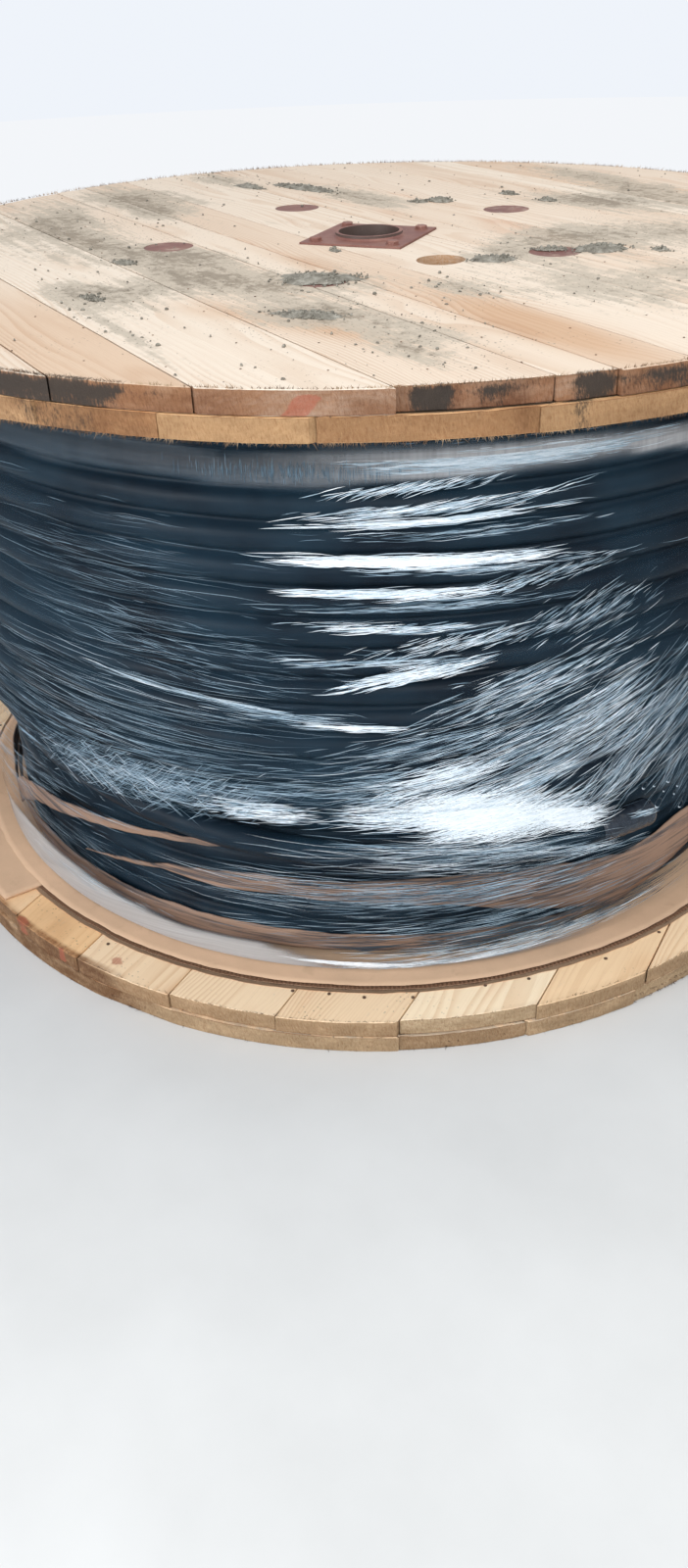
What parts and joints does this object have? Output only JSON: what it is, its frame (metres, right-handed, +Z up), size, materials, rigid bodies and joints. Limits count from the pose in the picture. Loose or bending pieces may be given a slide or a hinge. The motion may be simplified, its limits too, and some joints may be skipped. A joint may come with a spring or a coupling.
{
  "type": "wooden cable drum",
  "caption": "Wound wooden cable drum standing on its flange: crosswise board flanges, staved barrel, steel hub plates, black cable under stretch film on a corrugated sheet.",
  "frame": {"origin": "middle of the lower flange's outside face, on the floor", "axes": "+Z up along the drum's spindle bore; +X along the boards of the upper flange's outside layer, towards the driving hole and the cable's end"},
  "size_m": [1.7999, 1.7998, 1.0595],
  "materials": {
    "board_pale": "sawn, weathered pale",
    "board_tan": "sawn",
    "primer": "red oxide primer, matt",
    "cable_sheath": "black sheath, satin",
    "end_cap": "black shrink cap",
    "cardboard": "corrugated brown card",
    "film": "clear stretch film"
  },
  "bodies": {
    "root": {"top_outer_boards": "board_pale", "top_inner_boards": "board_tan", "bottom_inner_boards": "board_pale", "bottom_outer_boards": "board_tan", "barrel_staves": "board_tan", "hub_plates": "primer", "tie_bolts": "primer", "tie_nuts": "primer", "cable_winding": "cable_sheath", "cable_end": "cable_sheath", "cable_end_cap": "end_cap", "cardboard_liner": "cardboard", "cardboard_strip": "cardboard", "stretch_film": "film"}
  },
  "joints": []
}
